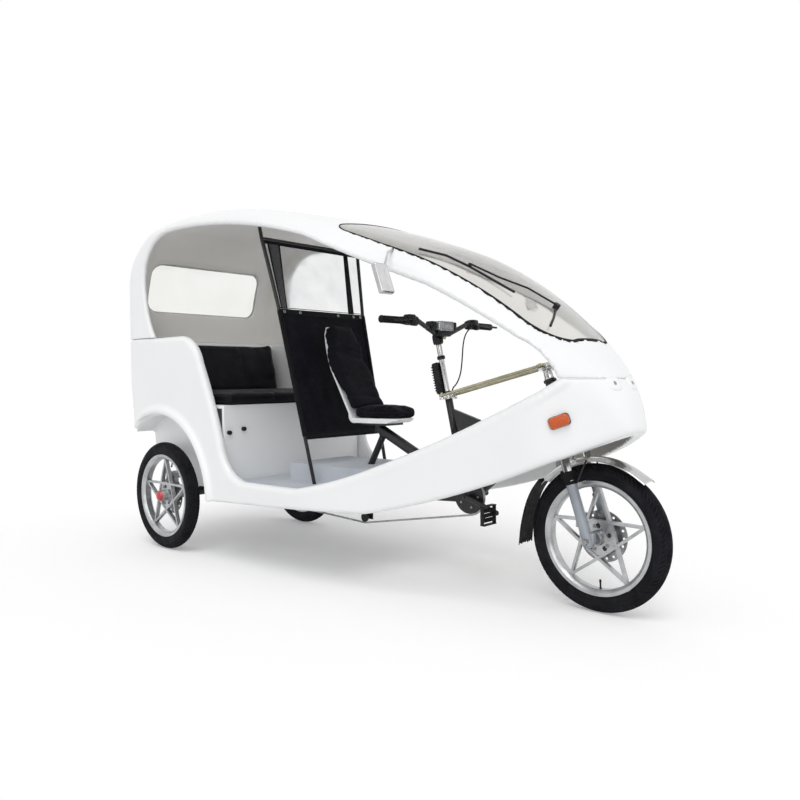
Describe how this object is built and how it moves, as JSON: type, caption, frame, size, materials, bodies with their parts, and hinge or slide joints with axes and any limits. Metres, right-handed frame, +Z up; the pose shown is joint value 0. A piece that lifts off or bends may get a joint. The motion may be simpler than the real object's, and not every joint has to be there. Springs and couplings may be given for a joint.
{
  "type": "cycle rickshaw",
  "caption": "Three-wheeled pedal rickshaw with a moulded open-sided cabin, a rear passenger bench, a driver's seat, handlebar steering by parallel rods and cast wheels.",
  "frame": {"origin": "on the floor under the centre of the overall length and width", "axes": "+X forward, +Y to the vehicle's left, +Z up"},
  "size_m": [2.9799, 1.135, 1.7919],
  "materials": {
    "amber_lens": "amber lens",
    "black_fabric": "black woven cover",
    "black_paint": "gloss black",
    "black_plastic": "matt black",
    "black_rubber": "matt black",
    "cast_alloy": "satin cast alloy",
    "chrome": "polished",
    "clear_film": "clear vinyl film",
    "clear_glass": "clear, lightly tinted",
    "grey_floor": "matt light grey",
    "grey_mat": "light blue-grey mat",
    "silver_plastic": "silver paint",
    "steel": "bright",
    "tyre": "black",
    "white_shell": "satin white moulded shell",
    "zinc": "yellow zinc plate"
  },
  "bodies": {
    "body": {"bench_backrest": "black_fabric", "bench_cushion": "black_fabric", "chain": "steel", "chain_idlers": "black_plastic", "driver_back_cushion": "black_fabric", "driver_seat_cushion": "black_fabric", "driver_seat_shell": "white_shell", "floor_mat": "grey_mat", "floor_pan": "grey_floor", "lower_shell": "white_shell", "main_frame": "black_paint", "mirrors": "chrome", "partition_fabric": "black_fabric", "partition_frame": "black_paint", "partition_window": "clear_film", "rear_axle": "black_paint", "rear_brake_calipers": "cast_alloy", "rear_window": "clear_glass", "seat_box": "white_shell", "seat_box_knobs": "black_plastic", "side_indicators": "amber_lens", "upper_shell": "white_shell", "windscreen": "clear_glass", "wiper": "black_plastic"},
    "handlebar_set": {"steering_stem": "chrome", "handlebar": "black_paint", "handlebar_grips": "black_rubber", "brake_levers": "black_plastic", "instrument_pod": "silver_plastic", "column_box": "black_plastic", "brake_cable": "black_rubber"},
    "fork": {"fork_crown": "chrome", "fork_legs": "cast_alloy", "front_fender": "chrome", "mud_flap": "black_rubber", "front_brake_caliper": "cast_alloy"},
    "front_wheel_set": {"front_wheel": "cast_alloy", "front_tyre": "tyre", "front_brake_disc": "steel"},
    "rear_left_wheel_set": {"rear_left_wheel": "cast_alloy", "rear_left_tyre": "tyre", "rear_left_brake_disc": "steel"},
    "rear_right_wheel_set": {"rear_right_wheel": "cast_alloy", "rear_right_tyre": "tyre", "rear_right_brake_disc": "steel"},
    "steering_rod_left": {"steering_rod_left": "zinc"},
    "steering_rod_right": {"steering_rod_right": "zinc"},
    "crankset": {"crankset": "black_paint"},
    "pedal_left": {"pedal_left": "black_plastic"},
    "pedal_right": {"pedal_right": "black_plastic"}
  },
  "joints": [
    {"name": "handlebar_steer", "type": "hinge", "parent": "body", "child": "handlebar_set", "pos_m": [0.496, 0, 0.673], "axis": [-0.2215, 0, 0.9751], "range_deg": [-35, 35]},
    {"name": "fork_steer", "type": "hinge", "parent": "body", "child": "fork", "pos_m": [0.98, 0, 0.92], "axis": [-0.309, 0, 0.9511], "range_deg": [-35, 35]},
    {"name": "steering_rod_left_pivot", "type": "hinge", "parent": "handlebar_set", "child": "steering_rod_left", "pos_m": [0.45834, 0.045, 0.83878], "axis": [-0.2215, 0, 0.9751], "range_deg": [-35, 35]},
    {"name": "steering_rod_right_pivot", "type": "hinge", "parent": "handlebar_set", "child": "steering_rod_right", "pos_m": [0.45834, -0.045, 0.83878], "axis": [-0.2215, 0, 0.9751], "range_deg": [-35, 35]},
    {"name": "front_wheel_spin", "type": "hinge", "parent": "fork", "child": "front_wheel_set", "pos_m": [1.2, 0, 0.29], "axis": [0, 1, 0], "continuous": true},
    {"name": "rear_left_wheel_spin", "type": "hinge", "parent": "body", "child": "rear_left_wheel_set", "pos_m": [-1.12, 0.488, 0.29], "axis": [0, 1, 0], "continuous": true},
    {"name": "rear_right_wheel_spin", "type": "hinge", "parent": "body", "child": "rear_right_wheel_set", "pos_m": [-1.12, -0.488, 0.29], "axis": [0, 1, 0], "continuous": true},
    {"name": "crank_spin", "type": "hinge", "parent": "body", "child": "crankset", "pos_m": [0.61, 0, 0.4], "axis": [0, 1, 0], "continuous": true},
    {"name": "pedal_left_spin", "type": "hinge", "parent": "crankset", "child": "pedal_left", "pos_m": [0.44832, 0.135, 0.45253], "axis": [0, 1, 0], "continuous": true},
    {"name": "pedal_right_spin", "type": "hinge", "parent": "crankset", "child": "pedal_right", "pos_m": [0.77168, -0.135, 0.34747], "axis": [0, 1, 0], "continuous": true}
  ],
  "couplings": [
    {"joint": "fork_steer", "follows": "handlebar_steer", "ratio": 1},
    {"joint": "steering_rod_left_pivot", "follows": "handlebar_steer", "ratio": -1},
    {"joint": "steering_rod_right_pivot", "follows": "handlebar_steer", "ratio": -1}
  ]
}
